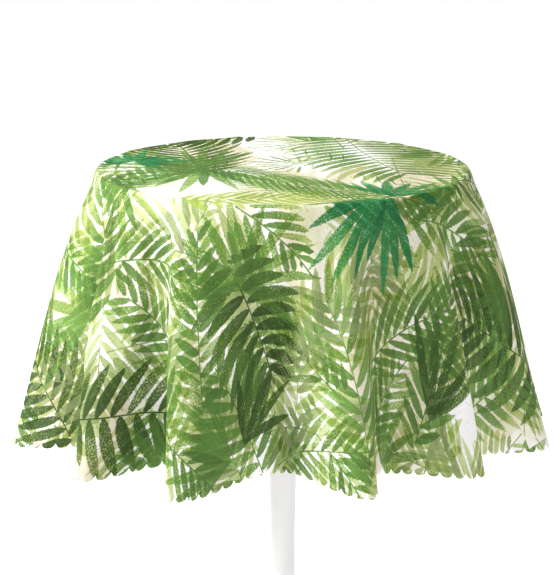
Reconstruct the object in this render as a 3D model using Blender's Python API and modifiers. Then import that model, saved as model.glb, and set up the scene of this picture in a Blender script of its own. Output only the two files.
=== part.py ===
"""Round tablecloth draped in folds over a bar-height pedestal table.

Metres, +Z up. The origin is on the floor, on the column's axis, and -Y is the front.
"""

import math

import bmesh
import bpy
from mathutils import Matrix, Vector

# Overall sizes
TABLE_HEIGHT = 1.067
TOP_DIAMETER = 0.610
CLOTH_DIAMETER = 1.524
BASE_DIAMETER = 0.450

# Clearance kept between pieces that touch
GAP = 0.0003

# Tabletop
CORE_THICKNESS = 0.022
LAMINATE_THICKNESS = 0.0009
BACKER_THICKNESS = 0.0008
BAND_DEPTH = 0.012
BAND_CORNER_RADIUS = 0.012
BARB_LENGTH = 0.009
BARB_THICKNESS = 0.0025
NUT_RECESS_RADIUS = 0.016
NUT_RECESS_DEPTH = 0.014

# Spider under the top, and its screws
SPIDER_THICKNESS = 0.006
SPIDER_SPAN = 0.380
SPIDER_ARM_WIDTH = 0.036
SPIDER_HUB_RADIUS = 0.062
SPIDER_SCREW_RADIUS = 0.165
SOCKET_WALL = 0.004
SOCKET_HEIGHT = 0.022
SCREW_SHANK_RADIUS = 0.0021
SCREW_HEAD_RADIUS = 0.0045
SCREW_HEAD_HEIGHT = 0.0028
SCREW_BITE = 0.013
SCREW_TIP_LENGTH = 0.003

# Column and the tie rod inside it
COLUMN_DIAMETER = 0.042
COLUMN_TOP_DIAMETER = 0.073
COLUMN_TAPER_START = 0.447
COLUMN_TAPER_BLEND = 0.050
COLUMN_WALL = 0.002
ROD_RADIUS = 0.005
ROD_CLEARANCE = 0.0006
NUT_ACROSS_FLATS = 0.016
NUT_HEIGHT = 0.008
WASHER_RADIUS = 0.0105
WASHER_THICKNESS = 0.002
ROD_END_LENGTH = 0.002

# Base
WEIGHT_DIAMETER = 0.370
WEIGHT_THICKNESS = 0.014
WEIGHT_UNDERSIDE = 0.012
SPIGOT_HEIGHT = 0.014
COUNTERBORE_RADIUS = 0.013
COUNTERBORE_DEPTH = 0.008
COVER_SHEET = 0.0015
COVER_RIM_HEIGHT = 0.008
COVER_SHOULDER_HEIGHT = 0.032
COVER_SHOULDER_RADIUS = 0.014
COVER_NECK_HEIGHT = 0.082
COVER_NECK_RADIUS = 0.034
TRIM_WALL = 0.0014
TRIM_HEIGHT = 0.008
COLLAR_WALL = 0.007
COLLAR_HEIGHT = 0.016
SET_SCREW_RADIUS = 0.0025
SET_SCREW_LENGTH = 0.006

# Levelling feet
FOOT_COUNT = 4
FOOT_CIRCLE_RADIUS = 0.150
FOOT_STUD_RADIUS = 0.004
FOOT_STUD_TOP = 0.034
FOOT_HEX_RADIUS = 0.0075
FOOT_HEX_HEIGHT = 0.0035
FOOT_PAD_RADIUS = 0.016
FOOT_PAD_HEIGHT = 0.0065
FOOT_SOCKET_DEPTH = 0.003
THREAD_CLEARANCE = 0.0004

# Tablecloth: the folds it hangs in. Each fold is the angle of its crest, turned from the front towards +X, and
# how far the crest stands out from the tabletop's edge at the hem, then the same for the valley after it.
CLOTH_THICKNESS = 0.0008
CLOTH_EDGE_STANDOFF = 0.0015
FOLDS = (
    (-76, 0.148, -52, 0.0185), (-47.5, 0.134, -29, 0.010), (-24, 0.127, 1.5, 0.007),
    (19, 0.1095, 26, 0.036), (47.5, 0.1165, 53, 0.0585), (73, 0.146, 83.5, 0.007),
    (94, 0.136, 105.5, 0.007), (117, 0.141, 129.5, 0.007), (142, 0.134, 154, 0.007),
    (166, 0.112, 178.5, 0.007), (191, 0.108, 203, 0.007), (215, 0.133, 226.5, 0.007),
    (238, 0.142, 249.5, 0.007), (261, 0.140, 273, 0.007),
)
# How much faster than evenly the stiff cloth stands out just under the rim, before it hangs down
SWELL = 0.6
# How far the hem hangs above the flat cut's full drop: less where the cloth stands further out
HEM_RISE = 0.043
HEM_RISE_LOSS = 0.13
COLUMNS_PER_SIDE = 4
DROP_ROWS = 6
BEND_ROWS = 4

ROUND_SIDES = 48
COLUMN_SIDES = 32
SMALL_SIDES = 16
SHARP_ANGLE = math.radians(35)

# Heights and radii that follow from the sizes above
TOP_RADIUS = TOP_DIAMETER / 2
CORE_RADIUS = TOP_RADIUS - BAND_DEPTH - GAP
CORE_TOP = TABLE_HEIGHT - LAMINATE_THICKNESS - GAP
CORE_BOTTOM = CORE_TOP - CORE_THICKNESS
BACKER_BOTTOM = CORE_BOTTOM - GAP - BACKER_THICKNESS
SPIDER_TOP = BACKER_BOTTOM - GAP
SPIDER_BOTTOM = SPIDER_TOP - SPIDER_THICKNESS
WEIGHT_TOP = WEIGHT_UNDERSIDE + WEIGHT_THICKNESS
COLUMN_BOTTOM = WEIGHT_TOP + GAP
COLUMN_TOP = SPIDER_BOTTOM - GAP
COLUMN_RADIUS = COLUMN_DIAMETER / 2
COLUMN_TOP_RADIUS = COLUMN_TOP_DIAMETER / 2
ROD_HOLE_RADIUS = ROD_RADIUS + ROD_CLEARANCE
TOP_STACK = TABLE_HEIGHT - BACKER_BOTTOM
BAND_CORNER = min(BAND_CORNER_RADIUS, TOP_STACK / 2 - GAP / 4)


def clear_scene():
    for obj in list(bpy.data.objects):
        bpy.data.objects.remove(obj)


def new_collection(name):
    collection = bpy.data.collections.new(name)
    bpy.context.scene.collection.children.link(collection)
    return collection


def make_material(name, colour, roughness, metallic=0.0):
    material = bpy.data.materials.new(name)
    material.use_nodes = True
    shader = material.node_tree.nodes["Principled BSDF"]
    shader.inputs["Base Color"].default_value = (*colour, 1.0)
    shader.inputs["Roughness"].default_value = roughness
    shader.inputs["Metallic"].default_value = metallic
    return material


def add_object(name, data, material, collection, place=(0, 0, 0), parent=None):
    obj = bpy.data.objects.new(name, data)
    collection.objects.link(obj)
    obj.location = place
    obj.parent = parent
    if material:
        data.materials.clear()
        data.materials.append(material)
    return obj


def as_mesh(obj):
    """Replace an object and its modifiers by the mesh they make, shaded smooth between its sharp edges."""
    graph = bpy.context.evaluated_depsgraph_get()
    mesh = bpy.data.meshes.new_from_object(obj.evaluated_get(graph))
    shape = bmesh.new()
    shape.from_mesh(mesh)
    bmesh.ops.remove_doubles(shape, verts=shape.verts, dist=0.00001)
    shape.to_mesh(mesh)
    shape.free()
    bpy.data.objects.remove(obj)
    mesh.shade_smooth()
    mesh.set_sharp_from_angle(angle=SHARP_ANGLE)
    return mesh


def turned(profile, sides=ROUND_SIDES, ring=True, sheet=0.0):
    """A mesh turned about Z from (radius, height) points that run down the outer side.

    A ring's profile closes on itself, and any other starts and ends on the axis. A sheet thickness makes an
    open profile a shell, with its wall on the inner side.
    """
    count = len(profile)
    edges = [(i, i + 1) for i in range(count - 1)]
    if ring and not sheet:
        edges.append((count - 1, 0))
    outline = bpy.data.meshes.new("outline")
    outline.from_pydata([(radius, 0, height) for radius, height in profile], edges, [])
    obj = add_object("outline", outline, None, parts)
    screw = obj.modifiers.new("turn", "SCREW")
    screw.steps = screw.render_steps = sides
    screw.use_merge_vertices = True
    screw.merge_threshold = 0.00001
    if sheet:
        wall = obj.modifiers.new("wall", "SOLIDIFY")
        wall.thickness = sheet
        wall.offset = -1
        wall.use_even_offset = True
    return as_mesh(obj)


def arc(centre, radius, start, end, steps):
    """(radius, height) points along an arc, with angles in degrees from outwards to up."""
    points = []
    for step in range(steps + 1):
        angle = math.radians(start + (end - start) * step / steps)
        points.append((centre[0] + radius * math.cos(angle), centre[1] + radius * math.sin(angle)))
    return points


def rod_mesh(radius, bottom, top, sides=SMALL_SIDES):
    """A plain solid cylinder about Z between two heights."""
    shape = bmesh.new()
    place = Matrix.Translation((0, 0, (bottom + top) / 2))
    bmesh.ops.create_cone(
        shape, cap_ends=True, segments=sides, radius1=radius, radius2=radius, depth=top - bottom, matrix=place
    )
    mesh = bpy.data.meshes.new("rod")
    shape.to_mesh(mesh)
    shape.free()
    mesh.shade_smooth()
    mesh.set_sharp_from_angle(angle=SHARP_ANGLE)
    return mesh


def circle_points(centre, radius, sides=SMALL_SIDES):
    turn = 2 * math.pi / sides
    return [
        (centre[0] + radius * math.cos(i * turn), centre[1] + radius * math.sin(i * turn)) for i in range(sides)
    ]


def flat_plate(outlines, thickness):
    """A plate from its outline and its holes, with its top face at height 0."""
    curve = bpy.data.curves.new("plate", "CURVE")
    curve.dimensions = "2D"
    curve.fill_mode = "BOTH"
    curve.extrude = thickness / 2
    for outline in outlines:
        spline = curve.splines.new("POLY")
        spline.points.add(len(outline) - 1)
        for point, (x, y) in zip(spline.points, outline):
            point.co = (x, y, 0, 1)
        spline.use_cyclic_u = True
    mesh = as_mesh(add_object("plate", curve, None, parts))
    mesh.transform(Matrix.Translation((0, 0, -thickness / 2)))
    return mesh


def cut(obj, name, mesh, places):
    """Cut a copy of a cutter's mesh out of an object at each place."""
    for number, place in enumerate(places, 1):
        cutter = add_object(f"{name}_{number}", mesh, None, cutters, place)
        cutter.hide_render = True
        cutter.display_type = "WIRE"
        boolean = obj.modifiers.new(cutter.name, "BOOLEAN")
        boolean.operation = "DIFFERENCE"
        boolean.object = cutter


def around(count, radius, height, start):
    """Places on a circle about the column's axis, the first one at the start angle in degrees."""
    angles = [math.radians(start + 360 * i / count) for i in range(count)]
    return [Vector((radius * math.cos(a), radius * math.sin(a), height)) for a in angles]


def make_tabletop():
    laminate = rod_mesh(CORE_RADIUS, -LAMINATE_THICKNESS, 0, ROUND_SIDES)
    add_object("tabletop_laminate", laminate, white_laminate, parts, (0, 0, TABLE_HEIGHT))

    middle = -CORE_THICKNESS / 2
    groove_half = BARB_THICKNESS / 2 + GAP
    groove_floor = CORE_RADIUS - BARB_LENGTH - GAP
    core_profile = [
        (0, 0),
        (CORE_RADIUS, 0),
        (CORE_RADIUS, middle + groove_half),
        (groove_floor, middle + groove_half),
        (groove_floor, middle - groove_half),
        (CORE_RADIUS, middle - groove_half),
        (CORE_RADIUS, -CORE_THICKNESS),
        (NUT_RECESS_RADIUS, -CORE_THICKNESS),
        (NUT_RECESS_RADIUS, NUT_RECESS_DEPTH - CORE_THICKNESS),
        (0, NUT_RECESS_DEPTH - CORE_THICKNESS),
    ]
    core = add_object("tabletop_core", turned(core_profile, ring=False), board, parts, (0, 0, CORE_TOP))
    pilot_radius = SCREW_SHANK_RADIUS + GAP
    pilot = rod_mesh(pilot_radius, -0.001, SCREW_BITE + 2 * GAP)
    cut(core, "pilot_hole", pilot, around(4, SPIDER_SCREW_RADIUS, CORE_BOTTOM, 45))

    screw_holes = [circle_points(p.xy, pilot_radius) for p in around(4, SPIDER_SCREW_RADIUS, 0, 45)]
    backer_outlines = [circle_points((0, 0), CORE_RADIUS, ROUND_SIDES), circle_points((0, 0), NUT_RECESS_RADIUS)]
    backer = flat_plate(backer_outlines + screw_holes, BACKER_THICKNESS)
    add_object("tabletop_backer", backer, brown_backer, parts, (0, 0, CORE_BOTTOM - GAP))

    inner = TOP_RADIUS - BAND_DEPTH
    barb_top = CORE_TOP + middle + BARB_THICKNESS / 2 - TABLE_HEIGHT
    corner = BAND_CORNER
    band_profile = (
        [(inner, 0)]
        + arc((TOP_RADIUS - corner, -corner), corner, 90, 0, 4)
        + arc((TOP_RADIUS - corner, corner - TOP_STACK), corner, 0, -90, 4)
        + [
            (inner, -TOP_STACK),
            (inner, barb_top - BARB_THICKNESS),
            (inner - BARB_LENGTH, barb_top - BARB_THICKNESS),
            (inner - BARB_LENGTH, barb_top),
            (inner, barb_top),
        ]
    )
    add_object("tabletop_edge_band", turned(band_profile), edging, parts, (0, 0, TABLE_HEIGHT))


def spider_outline():
    """Four arms with rounded ends round a hub, as (x, y) points anticlockwise."""
    half = SPIDER_ARM_WIDTH / 2
    tip = SPIDER_SPAN / 2 - half
    hub_edge = math.degrees(math.asin(half / SPIDER_HUB_RADIUS))
    points = []
    for arm in range(4):
        turn = Matrix.Rotation(math.radians(45 + 90 * arm), 2)
        quarter = arc((tip, 0), half, -90, 90, 10)
        hub = arc((0, 0), SPIDER_HUB_RADIUS, hub_edge, 90 - hub_edge, 6)
        points += [tuple(turn @ Vector(point)) for point in quarter + hub]
    return points


def make_spider():
    hole = SCREW_SHANK_RADIUS + 2 * GAP
    outlines = [spider_outline(), circle_points((0, 0), ROD_HOLE_RADIUS)]
    outlines += [circle_points(place.xy, hole) for place in around(4, SPIDER_SCREW_RADIUS, 0, 45)]
    plate = flat_plate(outlines, SPIDER_THICKNESS)
    add_object("spider_plate", plate, black_steel, parts, (0, 0, SPIDER_TOP))

    inner = COLUMN_TOP_RADIUS + GAP
    outer = inner + SOCKET_WALL
    socket = turned([(inner, 0), (outer, 0), (outer, -SOCKET_HEIGHT), (inner, -SOCKET_HEIGHT)], COLUMN_SIDES)
    add_object("spider_socket", socket, black_steel, parts, (0, 0, SPIDER_BOTTOM - GAP))

    tip = SPIDER_THICKNESS + 3 * GAP + BACKER_THICKNESS + SCREW_BITE
    screw_profile = [
        (0, tip),
        (SCREW_SHANK_RADIUS, tip - SCREW_TIP_LENGTH),
        (SCREW_SHANK_RADIUS, 0),
        (SCREW_HEAD_RADIUS, 0),
        (SCREW_HEAD_RADIUS, -SCREW_HEAD_HEIGHT / 2),
        (SCREW_HEAD_RADIUS * 0.6, -SCREW_HEAD_HEIGHT),
        (0, -SCREW_HEAD_HEIGHT),
    ]
    screw = turned(screw_profile, SMALL_SIDES, ring=False)
    for number, place in enumerate(around(4, SPIDER_SCREW_RADIUS, SPIDER_BOTTOM - GAP, 45), 1):
        add_object(f"spider_screw_{number}", screw, bright_steel, parts, place)


def column_radius_at(height):
    """Outer radius of the column: straight below, then a cone that starts in a soft blend."""
    rise = max(0.0, height - COLUMN_TAPER_START)
    if rise < COLUMN_TAPER_BLEND:
        rise = rise * rise / (2 * COLUMN_TAPER_BLEND)
    else:
        rise -= COLUMN_TAPER_BLEND / 2
    full_rise = COLUMN_TOP - COLUMN_TAPER_START - COLUMN_TAPER_BLEND / 2
    return COLUMN_RADIUS + (COLUMN_TOP_RADIUS - COLUMN_RADIUS) * rise / full_rise


def make_column():
    blend_steps = 4
    heights = [COLUMN_TOP]
    heights += [
        COLUMN_TAPER_START + COLUMN_TAPER_BLEND * step / blend_steps for step in range(blend_steps, -1, -1)
    ]
    heights += [COLUMN_BOTTOM]
    outer = [(column_radius_at(z), z - COLUMN_BOTTOM) for z in heights]
    inner = [(radius - COLUMN_WALL, z) for radius, z in reversed(outer)]
    add_object("column_tube", turned(outer + inner, COLUMN_SIDES), white_coat, parts, (0, 0, COLUMN_BOTTOM))

    nut_seat = SPIDER_TOP + GAP
    nut_floor = WEIGHT_UNDERSIDE + COUNTERBORE_DEPTH - GAP
    stack = WASHER_THICKNESS + GAP + NUT_HEIGHT
    rod_top = nut_seat + stack + ROD_END_LENGTH
    rod_bottom = nut_floor - stack - ROD_END_LENGTH
    rod = rod_mesh(ROD_RADIUS, 0, rod_top - rod_bottom)
    add_object("tie_rod", rod, bright_steel, parts, (0, 0, rod_bottom))

    def ring(radius, height, sides):
        return turned([(ROD_HOLE_RADIUS, height), (radius, height), (radius, 0), (ROD_HOLE_RADIUS, 0)], sides)

    def nut(height):
        outlines = [circle_points((0, 0), NUT_ACROSS_FLATS / math.sqrt(3), 6), circle_points((0, 0), ROD_HOLE_RADIUS)]
        mesh = flat_plate(outlines, height)
        mesh.transform(Matrix.Translation((0, 0, height)))
        return mesh

    washer = ring(WASHER_RADIUS, WASHER_THICKNESS, SMALL_SIDES)
    hexagon = nut(NUT_HEIGHT)
    add_object("tie_rod_top_washer", washer, bright_steel, parts, (0, 0, nut_seat))
    add_object("tie_rod_top_nut", hexagon, bright_steel, parts, (0, 0, nut_seat + WASHER_THICKNESS + GAP))
    low_washer = nut_floor - WASHER_THICKNESS
    add_object("tie_rod_bottom_washer", washer, bright_steel, parts, (0, 0, low_washer))
    add_object("tie_rod_bottom_nut", hexagon, bright_steel, parts, (0, 0, low_washer - GAP - NUT_HEIGHT))


def make_base():
    spigot = COLUMN_RADIUS - COLUMN_WALL - GAP
    radius = WEIGHT_DIAMETER / 2
    chamfer = WEIGHT_THICKNESS / 4
    weight_profile = [
        (ROD_HOLE_RADIUS, WEIGHT_THICKNESS + SPIGOT_HEIGHT),
        (spigot, WEIGHT_THICKNESS + SPIGOT_HEIGHT),
        (spigot, WEIGHT_THICKNESS),
        (radius - chamfer, WEIGHT_THICKNESS),
        (radius, WEIGHT_THICKNESS - chamfer),
        (radius, 0),
        (COUNTERBORE_RADIUS, 0),
        (COUNTERBORE_RADIUS, COUNTERBORE_DEPTH),
        (ROD_HOLE_RADIUS, COUNTERBORE_DEPTH),
    ]
    weight = add_object("base_weight", turned(weight_profile), cast_iron, parts, (0, 0, WEIGHT_UNDERSIDE))
    bore = rod_mesh(FOOT_STUD_RADIUS + THREAD_CLEARANCE, -0.002, WEIGHT_THICKNESS + 0.002)
    cut(weight, "foot_bore", bore, around(FOOT_COUNT, FOOT_CIRCLE_RADIUS, WEIGHT_UNDERSIDE, 45))

    rim = BASE_DIAMETER / 2 - TRIM_WALL
    neck_hole = COLUMN_RADIUS + GAP
    shoulder = COVER_SHOULDER_RADIUS
    slope = math.degrees(
        math.atan2(COVER_NECK_HEIGHT - COVER_SHOULDER_HEIGHT, rim - shoulder - COVER_NECK_RADIUS)
    )
    neck_bend = 0.008
    cover_profile = (
        [(neck_hole, COVER_NECK_HEIGHT)]
        + arc((COVER_NECK_RADIUS - neck_bend, COVER_NECK_HEIGHT - neck_bend), neck_bend, 90, 90 - slope, 2)
        + arc((rim - shoulder, COVER_SHOULDER_HEIGHT - shoulder), shoulder, 90 - slope, 0, 4)
        + [(rim, COVER_RIM_HEIGHT)]
    )
    cover = turned(cover_profile, ROUND_SIDES, sheet=COVER_SHEET)
    add_object("base_cover", cover, white_coat, parts)

    outer = rim + TRIM_WALL
    inner = rim - COVER_SHEET - GAP
    trim_profile = [
        (rim + GAP, TRIM_HEIGHT),
        (outer, TRIM_HEIGHT),
        (outer, 0),
        (inner - TRIM_WALL, 0),
        (inner - TRIM_WALL, TRIM_HEIGHT),
        (inner, TRIM_HEIGHT),
        (inner, TRIM_WALL),
        (rim + GAP, TRIM_WALL),
    ]
    trim_floor = COVER_RIM_HEIGHT - TRIM_WALL - GAP
    add_object("base_edge_trim", turned(trim_profile), grey_plastic, parts, (0, 0, trim_floor))

    inner = COLUMN_RADIUS + GAP
    outer = inner + COLLAR_WALL
    bevel = COLLAR_WALL / 4
    collar_profile = [
        (inner, COLLAR_HEIGHT),
        (outer - bevel, COLLAR_HEIGHT),
        (outer, COLLAR_HEIGHT - bevel),
        (outer, 0),
        (inner, 0),
    ]
    collar_floor = COVER_NECK_HEIGHT + GAP
    collar = add_object("column_collar", turned(collar_profile, COLUMN_SIDES), white_coat, parts, (0, 0, collar_floor))
    sideways = Matrix.Rotation(math.radians(90), 4, "X")
    screw_hole = rod_mesh(SET_SCREW_RADIUS + GAP, -0.002, COLLAR_WALL + 0.004)
    screw_hole.transform(sideways)
    level = collar_floor + COLLAR_HEIGHT / 2
    cut(collar, "set_screw_hole", screw_hole, [(0, -inner, level)])
    set_screw = rod_mesh(SET_SCREW_RADIUS, 0, SET_SCREW_LENGTH)
    set_screw.transform(sideways)
    add_object("collar_set_screw", set_screw, bright_steel, parts, (0, -inner - GAP, level))


def make_feet():
    hex_bottom = FOOT_PAD_HEIGHT + GAP
    socket_floor = FOOT_PAD_HEIGHT - FOOT_SOCKET_DEPTH
    socket = FOOT_STUD_RADIUS + GAP
    bevel = FOOT_PAD_HEIGHT / 4
    pad_profile = [
        (0, socket_floor),
        (socket, socket_floor),
        (socket, FOOT_PAD_HEIGHT),
        (FOOT_PAD_RADIUS - bevel, FOOT_PAD_HEIGHT),
        (FOOT_PAD_RADIUS, FOOT_PAD_HEIGHT - bevel),
        (FOOT_PAD_RADIUS, 0),
        (0, 0),
    ]
    stud_profile = [
        (0, FOOT_STUD_TOP),
        (FOOT_STUD_RADIUS, FOOT_STUD_TOP),
        (FOOT_STUD_RADIUS, hex_bottom + FOOT_HEX_HEIGHT),
        (FOOT_HEX_RADIUS, hex_bottom + FOOT_HEX_HEIGHT),
        (FOOT_HEX_RADIUS, hex_bottom),
        (FOOT_STUD_RADIUS, hex_bottom),
        (FOOT_STUD_RADIUS, socket_floor + GAP),
        (0, socket_floor + GAP),
    ]
    pad = turned(pad_profile, SMALL_SIDES, ring=False)
    stud = turned(stud_profile, SMALL_SIDES, ring=False)
    for number, place in enumerate(around(FOOT_COUNT, FOOT_CIRCLE_RADIUS, 0, 45), 1):
        axis = add_object(f"foot_{number}_axis", None, None, parts, place)
        add_object(f"foot_stud_{number}", stud, bright_steel, parts, parent=axis)
        add_object(f"foot_pad_{number}", pad, grey_plastic, parts, parent=axis)


def fold_columns():
    """(angle, standoff at the hem) of each column of the cloth, from crest to valley to the next crest."""
    columns = []
    first_angle, first_reach = FOLDS[0][:2]
    following = list(FOLDS[1:]) + [(first_angle + 360, first_reach)]
    for (angle, reach, low_angle, low), (next_angle, next_reach, *_) in zip(FOLDS, following):
        for step in range(COLUMNS_PER_SIDE):
            share = step / COLUMNS_PER_SIDE
            crest = (1 + math.cos(math.pi * share)) / 2
            columns.append((angle + (low_angle - angle) * share, low + (reach - low) * crest))
        for step in range(COLUMNS_PER_SIDE):
            share = step / COLUMNS_PER_SIDE
            crest = (1 - math.cos(math.pi * share)) / 2
            columns.append((low_angle + (next_angle - low_angle) * share, low + (next_reach - low) * crest))
    return columns


def cloth_point(column, row):
    """A point of the cloth's underside, on the row from the start of the bend (0) down to the hem."""
    angle, out = column
    edge = TOP_RADIUS + CLOTH_EDGE_STANDOFF - BAND_CORNER
    level = TABLE_HEIGHT + GAP - BAND_CORNER
    if row <= BEND_ROWS:
        bend = math.radians(90 * row / BEND_ROWS)
        radius = edge + BAND_CORNER * math.sin(bend)
        height = level + BAND_CORNER * math.cos(bend)
    else:
        share = (row - BEND_ROWS) / DROP_ROWS
        free_drop = (CLOTH_DIAMETER - TOP_DIAMETER) / 2
        hem = TABLE_HEIGHT - free_drop + HEM_RISE - HEM_RISE_LOSS * out
        radius = edge + BAND_CORNER + out * (share + SWELL * share * (1 - share) ** 2)
        height = level + (hem - level) * share
    turn = math.radians(angle)
    return Vector((radius * math.sin(turn), -radius * math.cos(turn), height))


def make_tablecloth():
    """One sheet lofted from the flat disc on the tabletop, over its edge, to the folded hem."""
    columns = fold_columns()
    shape = bmesh.new()
    middle = shape.verts.new((0, 0, TABLE_HEIGHT + GAP))
    rows = range(BEND_ROWS + DROP_ROWS + 1)
    rings = [[shape.verts.new(cloth_point(column, row)) for column in columns] for row in rows]
    count = len(columns)
    for i in range(count):
        j = (i + 1) % count
        shape.faces.new((middle, rings[0][i], rings[0][j]))
        for upper, lower in zip(rings, rings[1:]):
            shape.faces.new((upper[i], lower[i], lower[j], upper[j]))
    mesh = bpy.data.meshes.new("tablecloth")
    shape.to_mesh(mesh)
    shape.free()
    mesh.shade_smooth()
    cloth = add_object("tablecloth", mesh, printed_cloth, parts)
    sheet = cloth.modifiers.new("cloth_thickness", "SOLIDIFY")
    sheet.thickness = CLOTH_THICKNESS
    sheet.offset = 1


clear_scene()
parts = new_collection("draped_table")
cutters = new_collection("cutters")

printed_cloth = make_material("printed_cloth", (0.42, 0.55, 0.28), 0.55)
white_laminate = make_material("white_laminate", (0.86, 0.86, 0.84), 0.4)
brown_backer = make_material("brown_backer", (0.30, 0.20, 0.13), 0.6)
board = make_material("board", (0.58, 0.44, 0.29), 0.8)
edging = make_material("edging", (0.83, 0.83, 0.81), 0.45)
white_coat = make_material("white_coat", (0.88, 0.87, 0.86), 0.35)
black_steel = make_material("black_steel", (0.03, 0.03, 0.03), 0.5)
cast_iron = make_material("cast_iron", (0.06, 0.06, 0.065), 0.7, 0.6)
bright_steel = make_material("bright_steel", (0.62, 0.62, 0.64), 0.3, 1.0)
grey_plastic = make_material("grey_plastic", (0.35, 0.35, 0.36), 0.6)

make_tabletop()
make_spider()
make_column()
make_base()
make_feet()
make_tablecloth()
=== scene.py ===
"""Looks of the draped pedestal table: a palm-print tablecloth with a scalloped hem, and the white table under it."""

import math

import bpy
import numpy as np
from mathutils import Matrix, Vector


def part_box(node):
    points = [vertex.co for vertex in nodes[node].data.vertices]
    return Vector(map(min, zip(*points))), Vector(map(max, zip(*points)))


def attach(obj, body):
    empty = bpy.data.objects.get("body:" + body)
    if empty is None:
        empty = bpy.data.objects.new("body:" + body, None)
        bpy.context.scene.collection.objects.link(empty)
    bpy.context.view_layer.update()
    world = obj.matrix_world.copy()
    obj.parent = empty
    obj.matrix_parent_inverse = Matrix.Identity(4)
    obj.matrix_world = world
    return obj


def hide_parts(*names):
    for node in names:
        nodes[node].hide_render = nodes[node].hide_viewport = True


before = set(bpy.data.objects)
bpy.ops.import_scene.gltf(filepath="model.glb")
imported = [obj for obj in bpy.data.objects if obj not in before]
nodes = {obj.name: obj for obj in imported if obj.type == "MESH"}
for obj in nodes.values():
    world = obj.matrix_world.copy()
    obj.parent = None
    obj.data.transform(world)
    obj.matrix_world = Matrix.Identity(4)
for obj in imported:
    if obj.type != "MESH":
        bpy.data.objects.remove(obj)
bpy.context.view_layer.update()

# ------------------------------------------------------------------------------
# Studio: a seamless pale floor, a key light above and to the left, a smaller one at the left side and a fill at the
# right. The camera stands back at a long focal length and looks slightly down on the tabletop.

TABLE_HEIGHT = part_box("tabletop_laminate")[1].z
CAMERA_DISTANCE = 3.2025
CAMERA_RISE = 0.603
CAMERA_SIDESTEP = -0.009
CAMERA_PITCH = math.radians(14.067)
CAMERA_LENS = 125.0

bpy.ops.object.select_all(action="DESELECT")
bpy.ops.mesh.primitive_plane_add(size=40, location=(0, 0, 0))
floor = bpy.context.object
floor.name = "studio_floor"
paper = bpy.data.materials.new("studio_paper")
paper.use_nodes = True
paper_shader = paper.node_tree.nodes["Principled BSDF"]
paper_shader.inputs["Base Color"].default_value = (0.93, 0.93, 0.93, 1)
paper_shader.inputs["Roughness"].default_value = 0.9
paper_shader.inputs["Emission Color"].default_value = (1, 1, 1, 1)
paper_shader.inputs["Emission Strength"].default_value = 0.68
floor.data.materials.append(paper)

world = bpy.data.worlds.new("studio")
bpy.context.scene.world = world
world.use_nodes = True
sky = world.node_tree.nodes["Background"]
sky.inputs["Color"].default_value = (1.0, 1.0, 1.0, 1)
sky.inputs["Strength"].default_value = 0.34


def soft_light(name, place, aim, size, power):
    """A square area light that faces a point."""
    bpy.ops.object.light_add(type="AREA", location=place)
    light = bpy.context.object
    light.name = name
    light.data.size = size
    light.data.energy = power
    direction = light.location - Vector(aim)
    light.rotation_euler = direction.to_track_quat("Z", "Y").to_euler()


soft_light("key_light", (-1.5, -0.3, 3.4), (0, 0, 0.9), 1.0, 105)
soft_light("side_light", (-2.8, -0.9, 2.0), (0, 0, 0.9), 0.7, 58)
soft_light("fill_light", (2.5, -2.4, 0.9), (0, 0, 0.6), 1.8, 26)

bpy.ops.object.camera_add(location=(CAMERA_SIDESTEP, -CAMERA_DISTANCE, TABLE_HEIGHT + CAMERA_RISE))
camera = bpy.context.object
camera.name = "catalogue_camera"
camera.rotation_euler = (math.pi / 2 - CAMERA_PITCH, 0, 0)
camera.data.lens = CAMERA_LENS
bpy.context.scene.camera = camera
bpy.context.scene.view_settings.view_transform = "Standard"

# ------------------------------------------------------------------------------
# Base weight and levelling feet: a sand-cast iron disc, painted thinly, on four zinc-plated studs with grey plastic
# pads. They come first, because the column and its rod stand on them.


def node_output(tree, kind, links=(), output=0, **settings):
    """A new node with its sockets fed or set, and one of its outputs."""
    made = tree.nodes.new(kind)
    for name, value in settings.items():
        setattr(made, name, value)
    for socket, term in links:
        if isinstance(term, bpy.types.NodeSocket):
            tree.links.new(term, made.inputs[socket])
        elif isinstance(term, tuple) and len(made.inputs[socket].default_value) == 4:
            made.inputs[socket].default_value = (*term, 1)
        elif term is not None:
            made.inputs[socket].default_value = term
    return made.outputs[output]


def sum_of(tree, operation, *terms):
    """A Math node's output."""
    return node_output(tree, "ShaderNodeMath", enumerate(terms), operation=operation)


def times(tree, first, second):
    return sum_of(tree, "MULTIPLY", first, second)


def times_plus(tree, first, second, added):
    return sum_of(tree, "MULTIPLY_ADD", first, second, added)


def at_least(tree, value, least):
    return sum_of(tree, "MAXIMUM", value, least)


def parts_of(tree, vector):
    return node_output(tree, "ShaderNodeSeparateXYZ", [(0, vector)]).node.outputs


def vector_of(tree, *terms):
    return node_output(tree, "ShaderNodeCombineXYZ", enumerate(terms))


def ramp_between(tree, value, low, high, start=0.0, end=1.0):
    """A smooth step from start to end as the value goes from low to high."""
    terms = enumerate((value, low, high, start, end))
    return node_output(tree, "ShaderNodeMapRange", terms, interpolation_type="SMOOTHSTEP")


def mixed(tree, share, first, second, way="MIX"):
    """A colour Mix node's output."""
    terms = [(0, share), (6, first), (7, second)]
    return node_output(tree, "ShaderNodeMix", terms, 2, data_type="RGBA", blend_type=way)


def noise(tree, vector, scale, detail=2.0, roughness=0.5):
    terms = [("Vector", vector), ("Scale", scale), ("Detail", detail), ("Roughness", roughness)]
    return node_output(tree, "ShaderNodeTexNoise", terms)


def new_group(name, inputs, outputs):
    """A shader node group with its named sockets."""
    group = bpy.data.node_groups.new(name, "ShaderNodeTree")
    for kinds, way in ((inputs, "INPUT"), (outputs, "OUTPUT")):
        for word, kind in kinds:
            group.interface.new_socket(name=word, in_out=way, socket_type=f"NodeSocket{kind}")
    return group, group.nodes.new("NodeGroupInput").outputs, group.nodes.new("NodeGroupOutput").inputs


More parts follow.
